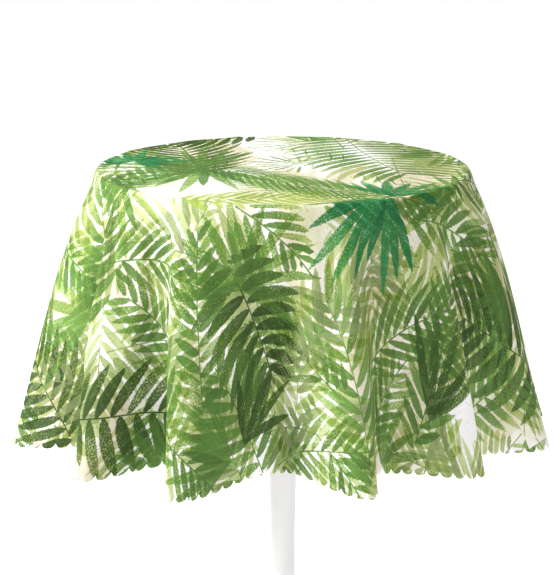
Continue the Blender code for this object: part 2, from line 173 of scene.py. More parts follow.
def make_finish_group():
    """Two tones that drift over a surface, a fine grain, and dull smudges from handling."""
    sockets = [("Place", "Vector"), ("Tone", "Color"), ("Other Tone", "Color"), ("Broad", "Float")]
    sockets += [("Fine", "Float"), ("Rough", "Float"), ("Smudge", "Float")]
    made = [("Colour", "Color"), ("Rough", "Float"), ("Height", "Float")]
    group, given, results = new_group("surface_finish", sockets, made)
    drift = ramp_between(group, noise(group, given["Place"], given["Broad"], 4.0, 0.6), 0.35, 0.68)
    grain = noise(group, given["Place"], given["Fine"], 3.0, 0.55)
    tone = mixed(group, drift, given["Tone"], given["Other Tone"])
    flecked = mixed(group, ramp_between(group, grain, 0.55, 0.75, 0.0, 0.35), tone, given["Other Tone"])
    dull = times(group, sum_of(group, "SUBTRACT", drift, 0.5), given["Smudge"])
    group.links.new(flecked, results["Colour"])
    group.links.new(sum_of(group, "ADD", given["Rough"], dull), results["Rough"])
    group.links.new(grain, results["Height"])
    return group


surface_finish = make_finish_group()


def finished_material(name, tone, other_tone, broad, fine, rough, smudge, grain_depth, metal=0.0, stretch=(1, 1, 1)):
    """A material with the surface finish placed in it. Scales are in cycles to the metre, and depths in metres."""
    material = bpy.data.materials.new(name)
    material.use_nodes = True
    tree = material.node_tree
    shader = tree.nodes["Principled BSDF"]
    place = node_output(tree, "ShaderNodeTexCoord", output=3)
    place = node_output(tree, "ShaderNodeMapping", [("Vector", place), ("Scale", stretch)])
    finish = tree.nodes.new("ShaderNodeGroup")
    finish.node_tree = surface_finish
    tree.links.new(place, finish.inputs["Place"])
    finish.inputs["Tone"].default_value = (*tone, 1)
    finish.inputs["Other Tone"].default_value = (*other_tone, 1)
    for word, value in (("Broad", broad), ("Fine", fine), ("Rough", rough), ("Smudge", smudge)):
        finish.inputs[word].default_value = value
    tree.links.new(finish.outputs["Colour"], shader.inputs["Base Color"])
    tree.links.new(finish.outputs["Rough"], shader.inputs["Roughness"])
    bump = tree.nodes.new("ShaderNodeBump")
    bump.inputs["Distance"].default_value = grain_depth
    tree.links.new(finish.outputs["Height"], bump.inputs["Height"])
    tree.links.new(bump.outputs["Normal"], shader.inputs["Normal"])
    shader.inputs["Metallic"].default_value = metal
    return material


def dress(material, *names):
    """Gives CAD nodes their material."""
    for name in names:
        nodes[name].data.materials.clear()
        nodes[name].data.materials.append(material)


cast_iron = finished_material(
    "painted_cast_iron", (0.030, 0.030, 0.032), (0.062, 0.058, 0.055), 22, 420, 0.62, 0.2, 0.0009, 0.2
)
zinc = finished_material(
    "zinc_plate", (0.58, 0.59, 0.61), (0.44, 0.45, 0.47), 45, 1400, 0.32, 0.2, 0.00008, 1.0, (1, 1, 4)
)
pad_plastic = finished_material(
    "grey_pad_plastic", (0.150, 0.152, 0.158), (0.195, 0.195, 0.200), 60, 1800, 0.55, 0.12, 0.00012
)
dress(cast_iron, "base_weight")
dress(zinc, "tie_rod", "tie_rod_top_washer", "tie_rod_top_nut", "tie_rod_bottom_washer", "tie_rod_bottom_nut")
for corner in range(1, 5):
    dress(zinc, f"foot_stud_{corner}")
    dress(pad_plastic, f"foot_pad_{corner}")

# ------------------------------------------------------------------------------
# Column: a drawn steel tube, swaged wider towards the top, and powder-coated white. The tie rod inside it pulls it
# down onto the weight and up against the spider.

ROUND_SIDES = 160
COLUMN_SIDES = 96
COLUMN_RADIUS = 0.021
COLUMN_TOP_RADIUS = 0.0365
COLUMN_WALL = 0.002
TAPER_START = 0.447
TAPER_BLEND = 0.050


def turned_piece(name, profile, sides, closed=True):
    """A turned ring or disc: a circle, extruded and resized from one point of the profile to the next."""
    bpy.ops.object.select_all(action="DESELECT")
    (radius, height), *following = profile
    bpy.ops.mesh.primitive_circle_add(vertices=sides, radius=radius, location=(0, 0, height))
    piece = bpy.context.object
    piece.name = piece.data.name = name
    bpy.ops.object.mode_set(mode="EDIT")
    bpy.ops.mesh.select_all(action="SELECT")
    for next_radius, next_height in following + ([profile[0]] if closed else []):
        bpy.ops.mesh.extrude_edges_move(TRANSFORM_OT_translate={"value": (0, 0, next_height - height)})
        grow = next_radius / radius
        bpy.ops.transform.resize(value=(grow, grow, 1), center_override=(0, 0, next_height))
        radius, height = next_radius, next_height
    bpy.ops.mesh.select_all(action="SELECT")
    bpy.ops.mesh.remove_doubles(threshold=0.00005)
    bpy.ops.mesh.normals_make_consistent(inside=False)
    bpy.ops.object.mode_set(mode="OBJECT")
    bpy.ops.object.transform_apply(location=True, rotation=True, scale=True)
    bpy.ops.object.shade_smooth_by_angle(angle=math.radians(32))
    return piece


def arc(centre_radius, centre_height, bend, start, end, steps):
    """Points of a rounded corner of a profile, from one angle to another in degrees."""
    angles = [math.radians(start + (end - start) * step / steps) for step in range(steps + 1)]
    return [(centre_radius + bend * math.cos(a), centre_height + bend * math.sin(a)) for a in angles]


def put_in_place(piece, material, stands_for, body="table"):
    piece.data.materials.clear()
    piece.data.materials.append(material)
    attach(piece, body)
    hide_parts(stands_for)


def column_radius_at(height):
    """Outer radius of the column: straight below, then a cone that starts in a soft blend."""
    rise = max(0.0, height - TAPER_START)
    rise = rise**2 / (2 * TAPER_BLEND) if rise < TAPER_BLEND else rise - TAPER_BLEND / 2
    full_rise = column_high - TAPER_START - TAPER_BLEND / 2
    return COLUMN_RADIUS + (COLUMN_TOP_RADIUS - COLUMN_RADIUS) * rise / full_rise


column_low, column_high = (corner.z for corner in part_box("column_tube"))
blend_heights = [TAPER_START + TAPER_BLEND * step / 10 for step in range(11)]
outer_line = [(column_radius_at(z), z) for z in [column_low + 0.001, *blend_heights, column_high - 0.001]]
outer_line = [(COLUMN_RADIUS - 0.0006, column_low), *outer_line, (outer_line[-1][0] - 0.0006, column_high)]
inner_line = [(radius - COLUMN_WALL + 0.0006, z) for radius, z in reversed(outer_line)]
column = turned_piece("white_column", outer_line + inner_line, COLUMN_SIDES)
white_coat = finished_material(
    "white_powder_coat", (0.690, 0.686, 0.680), (0.655, 0.650, 0.643), 9, 750, 0.36, 0.14, 0.00016
)
put_in_place(column, white_coat, "column_tube")

# ------------------------------------------------------------------------------
# Base cover, its rim trim and the collar: a spun steel bell in the column's white powder coat, finished at the floor
# with a grey push-on plastic trim, and held down by a collar with a set screw.

BASE_RADIUS = 0.225
TRIM_WALL = 0.0014
COVER_SHEET = 0.0015
COVER_RIM = 0.008
COVER_SHOULDER = 0.032
SHOULDER_BEND = 0.014
NECK_HEIGHT = 0.082
NECK_RADIUS = 0.034
NECK_BEND = 0.008
SLIP = 0.0003

rim = BASE_RADIUS - TRIM_WALL
slope = math.degrees(math.atan2(NECK_HEIGHT - COVER_SHOULDER, rim - SHOULDER_BEND - NECK_RADIUS))
bell = [(COLUMN_RADIUS + SLIP, NECK_HEIGHT)]
bell += arc(NECK_RADIUS - NECK_BEND, NECK_HEIGHT - NECK_BEND, NECK_BEND, 90, 90 - slope, 6)
bell += arc(rim - SHOULDER_BEND, COVER_SHOULDER - SHOULDER_BEND, SHOULDER_BEND, 90 - slope, 0, 12)
bell += [(rim, COVER_RIM)]
inside = [(rim - COVER_SHEET, COVER_RIM)]
inside += arc(rim - SHOULDER_BEND, COVER_SHOULDER - SHOULDER_BEND, SHOULDER_BEND - COVER_SHEET, 0, 90 - slope, 12)
inside += arc(NECK_RADIUS - NECK_BEND, NECK_HEIGHT - NECK_BEND, NECK_BEND - COVER_SHEET, 90 - slope, 90, 6)
inside += [(COLUMN_RADIUS + SLIP, NECK_HEIGHT - COVER_SHEET)]
cover = turned_piece("spun_base_cover", bell + inside, ROUND_SIDES)
put_in_place(cover, white_coat, "base_cover")

trim_low, trim_high = (corner.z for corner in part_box("base_edge_trim"))
lip = TRIM_WALL / 2
trim_inner = rim - COVER_SHEET - SLIP
trim_line = arc(rim + SLIP + lip, trim_high - lip, lip - 0.0001, 180, 0, 6)
trim_line += arc(BASE_RADIUS - lip, trim_low + lip, lip, 0, -90, 4)
trim_line += arc(trim_inner - TRIM_WALL + lip, trim_low + lip, lip, -90, -180, 4)
trim_line += arc(trim_inner - lip, trim_high - lip, lip, 180, 0, 6)
trim_line += [(trim_inner, trim_low + TRIM_WALL), (rim + SLIP, trim_low + TRIM_WALL)]
trim = turned_piece("rim_trim", trim_line, ROUND_SIDES)
put_in_place(trim, pad_plastic, "base_edge_trim")
dress(white_coat, "column_collar")
dress(zinc, "collar_set_screw")

# ------------------------------------------------------------------------------
# Spider: a four-armed plate with a welded ring that takes the column's end, in black textured powder coat, and four
# zinc-plated screws that hold it up to the board.

black_coat = finished_material(
    "black_textured_coat", (0.016, 0.016, 0.017), (0.030, 0.030, 0.031), 18, 900, 0.48, 0.15, 0.0004
)
dress(black_coat, "spider_plate", "spider_socket")
dress(zinc, *[f"spider_screw_{number}" for number in range(1, 5)])

# ------------------------------------------------------------------------------
# Tabletop: particle board between a white laminate and a brown backing sheet, with a round-nosed white edging whose
# barb is pressed into a groove all round.

BAND_DEPTH = 0.012
BARB_LENGTH = 0.009
BARB_THICKNESS = 0.0025
CORE_THICKNESS = 0.022
ARRIS = 0.0003
CENTRE_HOLE = 0.00002

laminate_low, laminate_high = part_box("tabletop_laminate")
laminate_radius = laminate_high.x
sheet_line = [(CENTRE_HOLE, laminate_high.z), (laminate_radius - ARRIS, laminate_high.z)]
sheet_line += [(laminate_radius, laminate_high.z - ARRIS), (laminate_radius, laminate_low.z)]
sheet_line += [(CENTRE_HOLE, laminate_low.z)]
laminate = turned_piece("white_laminate_sheet", sheet_line, ROUND_SIDES, closed=False)
laminate_white = finished_material(
    "matt_white_laminate", (0.800, 0.800, 0.785), (0.765, 0.765, 0.745), 14, 2200, 0.42, 0.12, 0.00010
)
put_in_place(laminate, laminate_white, "tabletop_laminate")

band_low, band_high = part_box("tabletop_edge_band")
band_radius = band_high.x
band_bend = (band_high.z - band_low.z) / 2 - 0.0001
barb_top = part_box("tabletop_core")[1].z - CORE_THICKNESS / 2 + BARB_THICKNESS / 2
band_inner = band_radius - BAND_DEPTH
band_line = [(band_inner, band_high.z)]
band_line += arc(band_radius - band_bend, band_high.z - band_bend, band_bend, 90, 0, 12)
band_line += arc(band_radius - band_bend, band_low.z + band_bend, band_bend, 0, -90, 12)
band_line += [(band_inner, band_low.z), (band_inner, barb_top - BARB_THICKNESS)]
band_line += [(band_inner - BARB_LENGTH, barb_top - BARB_THICKNESS), (band_inner - BARB_LENGTH, barb_top)]
band_line += [(band_inner, barb_top)]
edging = turned_piece("round_nosed_edging", band_line, ROUND_SIDES)
edging_white = finished_material(
    "white_edging", (0.780, 0.778, 0.765), (0.735, 0.733, 0.715), 12, 1500, 0.46, 0.12, 0.00012
)
put_in_place(edging, edging_white, "tabletop_edge_band")

chipboard = finished_material(
    "pressed_wood_chips", (0.480, 0.330, 0.185), (0.290, 0.185, 0.095), 260, 900, 0.85, 0.1, 0.0008, 0.0, (1, 1, 2.5)
)
kraft_backing = finished_material(
    "brown_backing_sheet", (0.170, 0.098, 0.055), (0.225, 0.135, 0.080), 35, 1300, 0.58, 0.16, 0.0002, 0.0, (1, 5, 1)
)
dress(chipboard, "tabletop_core")
dress(kraft_backing, "tabletop_backer")

# ------------------------------------------------------------------------------
# Tablecloth, cut: a round of flannel-backed vinyl 1.524 m across. Its edge is die-cut into small scallops, with no
# sewn hem. Each point is known by its place on the flat cut: its radius and its angle from the front.

CLOTH_RADIUS = 0.762
CLOTH_THICKNESS = 0.0008
SCALLOPS = 154
SCALLOP_DEPTH = 0.009
TOP_RADIUS = (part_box("tabletop_edge_band")[1].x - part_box("tabletop_edge_band")[0].x) / 2
TOP_BEND = 0.012
EDGE_STANDOFF = 0.0015
TOP_GAP = 0.0003
BEND_START = TOP_RADIUS + EDGE_STANDOFF - TOP_BEND
BEND_END = BEND_START + TOP_BEND * math.pi / 2
# Each fold: its crest's angle, turned from the front towards +X, and how far it stands out at the hem, then the same
# for the valley after it, and how far the crest's line turns on its way down.
FOLDS = (
    (-76, 0.148, -52, 0.0185, 3), (-47.5, 0.134, -29, 0.010, 9), (-24, 0.127, 1.5, 0.007, 4),
    (19, 0.1095, 26, 0.036, 2), (47.5, 0.1165, 53, 0.0585, 2), (73, 0.146, 83.5, 0.007, 0),
    (94, 0.136, 105.5, 0.007, 0), (117, 0.141, 129.5, 0.007, 0), (142, 0.134, 154, 0.007, 0),
    (166, 0.112, 178.5, 0.007, 0), (191, 0.108, 203, 0.007, 0), (215, 0.133, 226.5, 0.007, 0),
    (238, 0.142, 249.5, 0.007, 0), (261, 0.140, 273, 0.007, 0),
)
FIRST_FOLD = FOLDS[0][0]
VALLEY_DROP = 0.4148
DROP_PER_REACH = 0.13
SWELL = 0.6
GRID_COLUMNS = 308
EDGE_ROWS = (0.10, 0.20, 0.27, 0.2945, 0.3000, 0.3060, 0.3120, 0.3180)
DROP_ROWS = 37


def fold_shape(angles, share):
    """How far out the cloth stands for its height at each angle, and how near each angle is to a crest.

    share runs from 0 at the tabletop's edge to 1 at the hem."""
    turned = [fold[4] * (share - 1) for fold in FOLDS]
    line = []
    for (crest, reach, valley, low, _), turn in zip(FOLDS, turned):
        line += [(crest + turn, reach, 1.0), (valley + turn, low, 0.0)]
    line.append((line[0][0] + 360, line[0][1], 1.0))
    places, standoffs, heights = (np.array(column) for column in zip(*line))
    angles = (angles - places[0]) % 360 + places[0]
    side = np.clip(np.searchsorted(places, angles, side="right") - 1, 0, len(places) - 2)
    along = (angles - places[side]) / (places[side + 1] - places[side])
    ease = (1 - np.cos(np.pi * along)) / 2
    out = standoffs[side] + (standoffs[side + 1] - standoffs[side]) * ease
    crest = heights[side] + (heights[side + 1] - heights[side]) * ease
    return out, crest


def hung_row(cut_radius, angles):
    """Radius and height of the points of one row of the cloth as it hangs in even folds."""
    level = TABLE_HEIGHT + TOP_GAP
    if cut_radius < BEND_END:
        bend = max(0, cut_radius - BEND_START) / TOP_BEND
        radius = min(cut_radius, BEND_START) + TOP_BEND * math.sin(bend)
        return np.full_like(angles, radius), np.full_like(angles, level - TOP_BEND * (1 - math.cos(bend)))
    share = (cut_radius - BEND_END) / (CLOTH_RADIUS - BEND_END)
    out = fold_shape(angles, share)[0]
    drop = VALLEY_DROP + DROP_PER_REACH * out
    radius = BEND_START + TOP_BEND + out * (share + SWELL * share * (1 - share) ** 2)
    return radius, level - TOP_BEND - (drop - TOP_BEND) * share


grid_angles = FIRST_FOLD + 360 * np.arange(GRID_COLUMNS) / GRID_COLUMNS
grid_radii = np.concatenate([EDGE_ROWS, np.linspace(0.330, CLOTH_RADIUS, DROP_ROWS)])
fold_crest = fold_shape(grid_angles, 1)[1]
turns = np.radians(grid_angles)
outward = np.stack([np.sin(turns), -np.cos(turns)], axis=1)

hung = np.zeros((len(grid_radii), GRID_COLUMNS, 3))
flat = np.zeros_like(hung)
for row, cut_radius in enumerate(grid_radii):
    radius, height = hung_row(cut_radius, grid_angles)
    hung[row, :, :2] = outward * radius[:, None]
    hung[row, :, 2] = height
    flat[row, :, :2] = outward * cut_radius
    flat[row, :, 2] = TABLE_HEIGHT + TOP_GAP

# ------------------------------------------------------------------------------
# Tablecloth, draped: a cloth simulation lets the even folds settle. The springs know the flat cut's lengths, the
# part on the tabletop and the crests are held, and the rest bends and buckles as the stiff vinyl does.

SETTLING_FRAMES = 20
CLEAR_OF_TOP = 0.0035
CREST_HOLD = 0.4


def grid_mesh(name, points):
    """A mesh of the round grid, with its middle point first."""
    rows, columns = points.shape[:2]
    corners = [(0, 0, TABLE_HEIGHT + TOP_GAP)] + points.reshape(-1, 3).tolist()
    faces = []
    for column in range(columns):
        after = (column + 1) % columns
        faces.append((0, 1 + column, 1 + after))
        for row in range(rows - 1):
            upper, lower = 1 + row * columns, 1 + (row + 1) * columns
            faces.append((upper + column, lower + column, lower + after, upper + after))
    mesh = bpy.data.meshes.new(name)
    mesh.from_pydata(corners, [], faces)
    return mesh


def collider(name, radius, depth, top, bevel, friction):
    """A plain drum that the cloth can't pass through while it settles."""
    place = (0, 0, top - depth / 2)
    bpy.ops.mesh.primitive_cylinder_add(vertices=96, radius=radius, depth=depth, location=place)
    drum = bpy.context.object
    drum.name = name
    if bevel:
        round_edge = drum.modifiers.new("round_edge", "BEVEL")
        round_edge.width = bevel
        round_edge.segments = 5
    drum.modifiers.new("collision", "COLLISION")
    drum.collision.thickness_outer = 0.001
    drum.collision.thickness_inner = 0.01
    drum.collision.cloth_friction = friction
    return drum


def settle(points):
    """The round grid's points after the cloth has settled."""
    cloth = bpy.data.objects.new("settling_cloth", grid_mesh("settling_cloth", points))
    bpy.context.scene.collection.objects.link(cloth)
    cloth.shape_key_add(name="hung")
    cut_shape = cloth.shape_key_add(name="flat_cut")
    cut_points = np.concatenate([[[0, 0, TABLE_HEIGHT + TOP_GAP]], flat.reshape(-1, 3)])
    cut_shape.data.foreach_set("co", cut_points.astype(np.float32).ravel())
    cut_shape.value = 0

    held = cloth.vertex_groups.new(name="held")
    on_the_top = range(1 + 4 * GRID_COLUMNS)
    held.add(list(on_the_top), 1.0, "REPLACE")
    for column in np.flatnonzero(fold_crest > 0.93):
        below = [1 + row * GRID_COLUMNS + int(column) for row in range(9, len(grid_radii))]
        held.add(below, CREST_HOLD, "REPLACE")

    board = collider("board_form", TOP_RADIUS, 0.0243, TABLE_HEIGHT, 0.0115, 20)
    drum = collider("valley_form", TOP_RADIUS + CLEAR_OF_TOP + 0.001, 0.6, TABLE_HEIGHT - 0.03, 0, 0)

    fabric = cloth.modifiers.new("cloth", "CLOTH")
    springs = fabric.settings
    springs.quality = 7
    springs.mass = 0.15
    springs.tension_stiffness = springs.compression_stiffness = 25
    springs.shear_stiffness = 12
    springs.bending_stiffness = 8
    springs.air_damping = 2
    springs.vertex_group_mass = "held"
    springs.rest_shape_key = cut_shape
    fabric.collision_settings.distance_min = 0.0015
    fabric.point_cache.frame_end = SETTLING_FRAMES
    scene = bpy.context.scene
    for frame_number in range(1, SETTLING_FRAMES + 1):
        scene.frame_set(frame_number)
    settled = cloth.evaluated_get(bpy.context.evaluated_depsgraph_get()).to_mesh()
    result = np.zeros(len(settled.vertices) * 3, np.float32)
    settled.vertices.foreach_get("co", result)
    for helper in (cloth, board, drum):
        bpy.data.objects.remove(helper)
    scene.frame_set(1)
    return result.reshape(-1, 3)[1:].reshape(points.shape).astype(float)


draped = settle(hung)
draped[:3] = hung[:3]
reach = np.hypot(draped[..., 0], draped[..., 1])
below_the_edge = (grid_radii > BEND_END)[:, None]
least = TOP_RADIUS + CLEAR_OF_TOP
push = np.where(below_the_edge & (reach < least), least / reach, 1.0)
draped[..., :2] *= push[..., None]

# ------------------------------------------------------------------------------
# Tablecloth, finished: the settled folds are resampled smoothly to a fine mesh with every scallop in its edge, and
# given the cloth's thickness. The printed film is the outer face, and the white flannel the inner one.

BODY_COLUMNS = SCALLOPS * 4
HEM_COLUMNS = SCALLOPS * 8
HEM_START = 0.741
HEM_ROWS = 4


def cubic(before, start, end, after, share):
    """Catmull-Rom curve through start and end."""
    return 0.5 * (
        2 * start
        + (end - before) * share
        + (2 * before - 5 * start + 4 * end - after) * share**2
        + (3 * start - before - 3 * end + after) * share**3
    )


def ring_points(cut_radii, columns):
    """Points of the draped cloth all round, at one cut radius for each column."""
    place = np.arange(columns) * GRID_COLUMNS / columns
    column = np.floor(place).astype(int)
    across = (place - column)[:, None]
    last = len(grid_radii) - 1
    row = np.clip(np.searchsorted(grid_radii, cut_radii, side="right") - 1, 0, last - 1)
    down = ((cut_radii - grid_radii[row]) / (grid_radii[row + 1] - grid_radii[row]))[:, None]

    def along(step):
        rows = np.clip(row + step, 0, last)
        picks = [draped[rows, (column + offset) % GRID_COLUMNS] for offset in (-1, 0, 1, 2)]
        return cubic(*picks, across)

    return cubic(along(-1), along(0), along(1), along(2), down)


def scalloped_edge(columns):
    """Cut radius of the hem: a row of shallow arcs that meet in small notches."""
    share = (np.arange(columns) * SCALLOPS / columns) % 1
    half_width = math.pi * CLOTH_RADIUS / SCALLOPS
    arc_radius = (half_width**2 + SCALLOP_DEPTH**2) / (2 * SCALLOP_DEPTH)
    side = (2 * share - 1) * half_width
    return CLOTH_RADIUS - arc_radius + np.sqrt(arc_radius**2 - side**2)


rings = []
for cut_radius, columns in [(0.10, SCALLOPS), (0.20, 2 * SCALLOPS)]:
    rings.append((np.full(columns, cut_radius), columns))
for cut_radius in (0.262, 0.285, 0.2945, 0.298, 0.3015, 0.305, 0.3085, 0.312, 0.316, 0.321):
    rings.append((np.full(BODY_COLUMNS, cut_radius), BODY_COLUMNS))
for cut_radius in np.linspace(0.329, HEM_START, 49):
    rings.append((np.full(BODY_COLUMNS, cut_radius), BODY_COLUMNS))
hem_edge = scalloped_edge(HEM_COLUMNS)
for row in range(1, HEM_ROWS + 1):
    rings.append((HEM_START + (hem_edge - HEM_START) * row / HEM_ROWS, HEM_COLUMNS))

cloth_points = [np.array([[0, 0, TABLE_HEIGHT + TOP_GAP]])]
cut_places = [np.zeros((1, 2))]
ring_starts = []
total = 1
for cut_radii, columns in rings:
    turns = np.radians(FIRST_FOLD + 360 * np.arange(columns) / columns)
    cloth_points.append(ring_points(cut_radii, columns))
    cut_places.append(np.stack([np.sin(turns), -np.cos(turns)], axis=1) * cut_radii[:, None])
    ring_starts.append(total)
    total += columns
cloth_points = np.concatenate(cloth_points)
cut_places = np.concatenate(cut_places)

cloth_faces = []
first, columns = ring_starts[0], rings[0][1]
for i in range(columns):
    cloth_faces.append((0, first + i, first + (i + 1) % columns))
for number in range(len(rings) - 1):
    upper, upper_columns = ring_starts[number], rings[number][1]
    lower, lower_columns = ring_starts[number + 1], rings[number + 1][1]
    for i in range(upper_columns):
        j = (i + 1) % upper_columns
        if lower_columns == upper_columns:
            cloth_faces.append((upper + i, lower + i, lower + j, upper + j))
            continue
        left, middle, right = lower + 2 * i, lower + 2 * i + 1, lower + (2 * i + 2) % lower_columns
        cloth_faces.append((upper + i, left, middle))
        cloth_faces.append((upper + i, middle, upper + j))
        cloth_faces.append((upper + j, middle, right))

cloth_mesh = bpy.data.meshes.new("tablecloth_sheet")
cloth_mesh.from_pydata(cloth_points.tolist(), [], cloth_faces)
cut_map = cloth_mesh.uv_layers.new(name="cut")
loop_points = np.zeros(len(cloth_mesh.loops), np.int32)
cloth_mesh.loops.foreach_get("vertex_index", loop_points)
cut_map.data.foreach_set("uv", cut_places[loop_points].astype(np.float32).ravel())
cloth_mesh.shade_smooth()
tablecloth = bpy.data.objects.new("tablecloth_sheet", cloth_mesh)
bpy.context.scene.collection.objects.link(tablecloth)

thickness = tablecloth.modifiers.new("film_and_flannel", "SOLIDIFY")
thickness.thickness = CLOTH_THICKNESS
thickness.offset = 1
thickness.material_offset = 1
thickness.material_offset_rim = 1
bpy.context.view_layer.objects.active = tablecloth
print_ink = bpy.data.materials.new("palm_print_vinyl")
print_ink.use_nodes = True
flannel = finished_material("white_flannel", (0.84, 0.83, 0.80), (0.76, 0.75, 0.72), 9.0, 1400.0, 0.94, 0.02, 0.0006)
flannel.node_tree.nodes["Principled BSDF"].inputs["Sheen Weight"].default_value = 0.35
flannel.node_tree.nodes["Principled BSDF"].inputs["Sheen Roughness"].default_value = 0.6
tablecloth.data.materials.append(print_ink)
tablecloth.data.materials.append(flannel)
bpy.ops.object.modifier_apply(modifier="film_and_flannel")
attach(tablecloth, "cloth")
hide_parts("tablecloth")

# ------------------------------------------------------------------------------
# Palm print: transparent inks on the white film, one frond over another, as in a watercolour. Each frond is placed on
# the flat cut by its foot and the way it grows, and the sheet carries every frond's own measure for the ink to follow.

FEATHER_LAYERS = 7
FAN_LAYERS = 3
FAN_LEAF_WIDTH = 0.0235
LEAF_FILL = 0.98
TIP_SWEEP = 0.6
LEAF_ARCH = 1.3
WHITE_FILM = (0.860, 0.835, 0.835)
KHAKI_WASH = (0.640, 0.580, 0.430)
MOSS_WASH = (0.600, 0.620, 0.330)
LEAF_GREEN, DEEP_GREEN, FRESH_GREEN, EMERALD, LIME, PALE_GREEN = range(6)
INKS = (
    (0.120, 0.250, 0.050),
    (0.052, 0.110, 0.022),
    (0.170, 0.330, 0.075),
    (0.014, 0.225, 0.075),
    (0.380, 0.500, 0.090),
    (0.360, 0.440, 0.190),
)
# A feather frond: foot across and up from the middle of the cut, heading, length, leaflet length, pitch, lean of the
# leaflets (0 is square to the stem), bend, speckle, ink.
FEATHERS = (
    (-0.100, -0.385, -74, 0.23, 0.125, 0.026, 0.00, 0.5, 0.10, DEEP_GREEN),
    (-0.195, -0.590, 83, 0.28, 0.070, 0.024, 0.50, -0.6, 0.30, LEAF_GREEN),
    (0.035, -0.735, 84, 0.22, 0.115, 0.029, 0.55, 0.6, 0.80, PALE_GREEN),
    (0.235, -0.690, 113, 0.29, 0.130, 0.028, 0.55, 1.0, 0.40, FRESH_GREEN),
    (0.215, -0.540, 58, 0.22, 0.135, 0.027, 0.95, 0.0, 0.35, LEAF_GREEN),
    (0.610, -0.165, 221, 0.22, 0.165, 0.027, 0.20, -1.0, 0.15, DEEP_GREEN),
    (0.205, -0.265, 28, 0.24, 0.115, 0.027, 0.70, 0.0, 0.50, LEAF_GREEN),
    (-0.510, -0.430, -43, 0.23, 0.120, 0.029, 0.25, 0.0, 0.20, DEEP_GREEN),
    (-0.440, -0.310, 55, 0.29, 0.155, 0.031, 0.55, -0.8, 0.45, LEAF_GREEN),
    (-0.670, -0.320, 62, 0.24, 0.140, 0.026, 0.45, 0.8, 0.15, DEEP_GREEN),
    (-0.275, -0.640, 95, 0.31, 0.100, 0.026, 0.60, 0.6, 0.35, LEAF_GREEN),
    (-0.135, -0.040, 96, 0.32, 0.150, 0.022, 0.55, 0.5, 0.15, DEEP_GREEN),
    (-0.140, 0.040, -50, 0.37, 0.125, 0.019, 1.20, 0.4, 0.25, LEAF_GREEN),
    (0.110, 0.285, -82, 0.36, 0.170, 0.023, 0.10, 0.6, 0.45, LEAF_GREEN),
    (0.165, -0.225, 150, 0.27, 0.110, 0.020, 0.80, 0.0, 0.40, FRESH_GREEN),
    (-0.150, -0.255, 4, 0.22, 0.075, 0.021, 0.60, 0.0, 0.40, LIME),
    (-0.060, 0.300, 205, 0.26, 0.110, 0.022, 0.50, -1.0, 0.20, DEEP_GREEN),
    (-0.270, -0.170, 60, 0.28, 0.110, 0.023, 0.70, 0.0, 0.45, FRESH_GREEN),
    (0.290, -0.060, 92, 0.28, 0.110, 0.025, 0.60, 0.9, 0.60, PALE_GREEN),
    (0.045, -0.560, 62, 0.27, 0.125, 0.030, 0.60, -0.6, 0.75, PALE_GREEN),
    (0.400, -0.585, 98, 0.29, 0.110, 0.028, 0.75, 0.8, 0.30, LEAF_GREEN),
    (0.560, -0.420, 84, 0.26, 0.125, 0.028, 0.50, -0.8, 0.55, FRESH_GREEN),
    (-0.560, -0.440, 96, 0.27, 0.120, 0.028, 0.50, 0.8, 0.60, PALE_GREEN),
    (-0.060, -0.755, 118, 0.24, 0.130, 0.028, 0.35, -0.6, 0.40, LEAF_GREEN),
)
# A fan: hub across and up from the middle of the cut, heading, leaflet length, half its opening, step, speckle, ink.
FANS = (
    (-0.085, -0.430, 66, 0.160, 102, 20, 0.30, LEAF_GREEN),
    (0.150, -0.245, -98, 0.175, 58, 14, 0.15, EMERALD),
    (0.160, -0.225, 70, 0.130, 74, 19, 0.15, EMERALD),
    (-0.145, -0.705, 150, 0.180, 58, 15, 0.20, LEAF_GREEN),
    (-0.110, -0.690, 55, 0.170, 46, 20, 0.10, DEEP_GREEN),
    (-0.310, -0.475, 118, 0.210, 42, 16, 0.10, DEEP_GREEN),
    (0.260, -0.335, -112, 0.165, 58, 17, 0.25, DEEP_GREEN),
    (-0.130, 0.000, 190, 0.200, 130, 14, 0.25, LEAF_GREEN),
    (-0.055, -0.120, -90, 0.180, 48, 12, 0.35, LIME),
    (0.465, -0.165, 250, 0.170, 70, 22, 0.40, LEAF_GREEN),
    (-0.245, 0.060, 80, 0.095, 150, 27, 0.10, EMERALD),
    (-0.470, -0.240, 105, 0.170, 66, 21, 0.35, FRESH_GREEN),
    (-0.425, -0.655, 78, 0.165, 72, 20, 0.45, LEAF_GREEN),
    (0.405, -0.530, 98, 0.190, 34, 16, 0.15, DEEP_GREEN),
    (0.330, -0.665, 60, 0.160, 80, 22, 0.40, LEAF_GREEN),
    (-0.600, -0.060, 20, 0.170, 90, 21, 0.35, FRESH_GREEN),
    (0.610, -0.020, 160, 0.170, 90, 21, 0.35, LEAF_GREEN),
)


def along_frond(places, foot_x, foot_y, heading, bend):
    """Distance along and across a frond's stem, which bends by so many radians to the metre."""
    turn = math.radians(heading)
    x, y = (places - (foot_x, foot_y)).T
    ahead = x * math.cos(turn) + y * math.sin(turn)
    aside = y * math.cos(turn) - x * math.sin(turn)
    if not bend:
        return ahead, aside
    swing = 1 / bend
    reach = np.hypot(ahead, swing - aside)
    return swing * np.arctan2(ahead * np.sign(swing), (swing - aside) * np.sign(swing)), swing - np.sign(swing) * reach


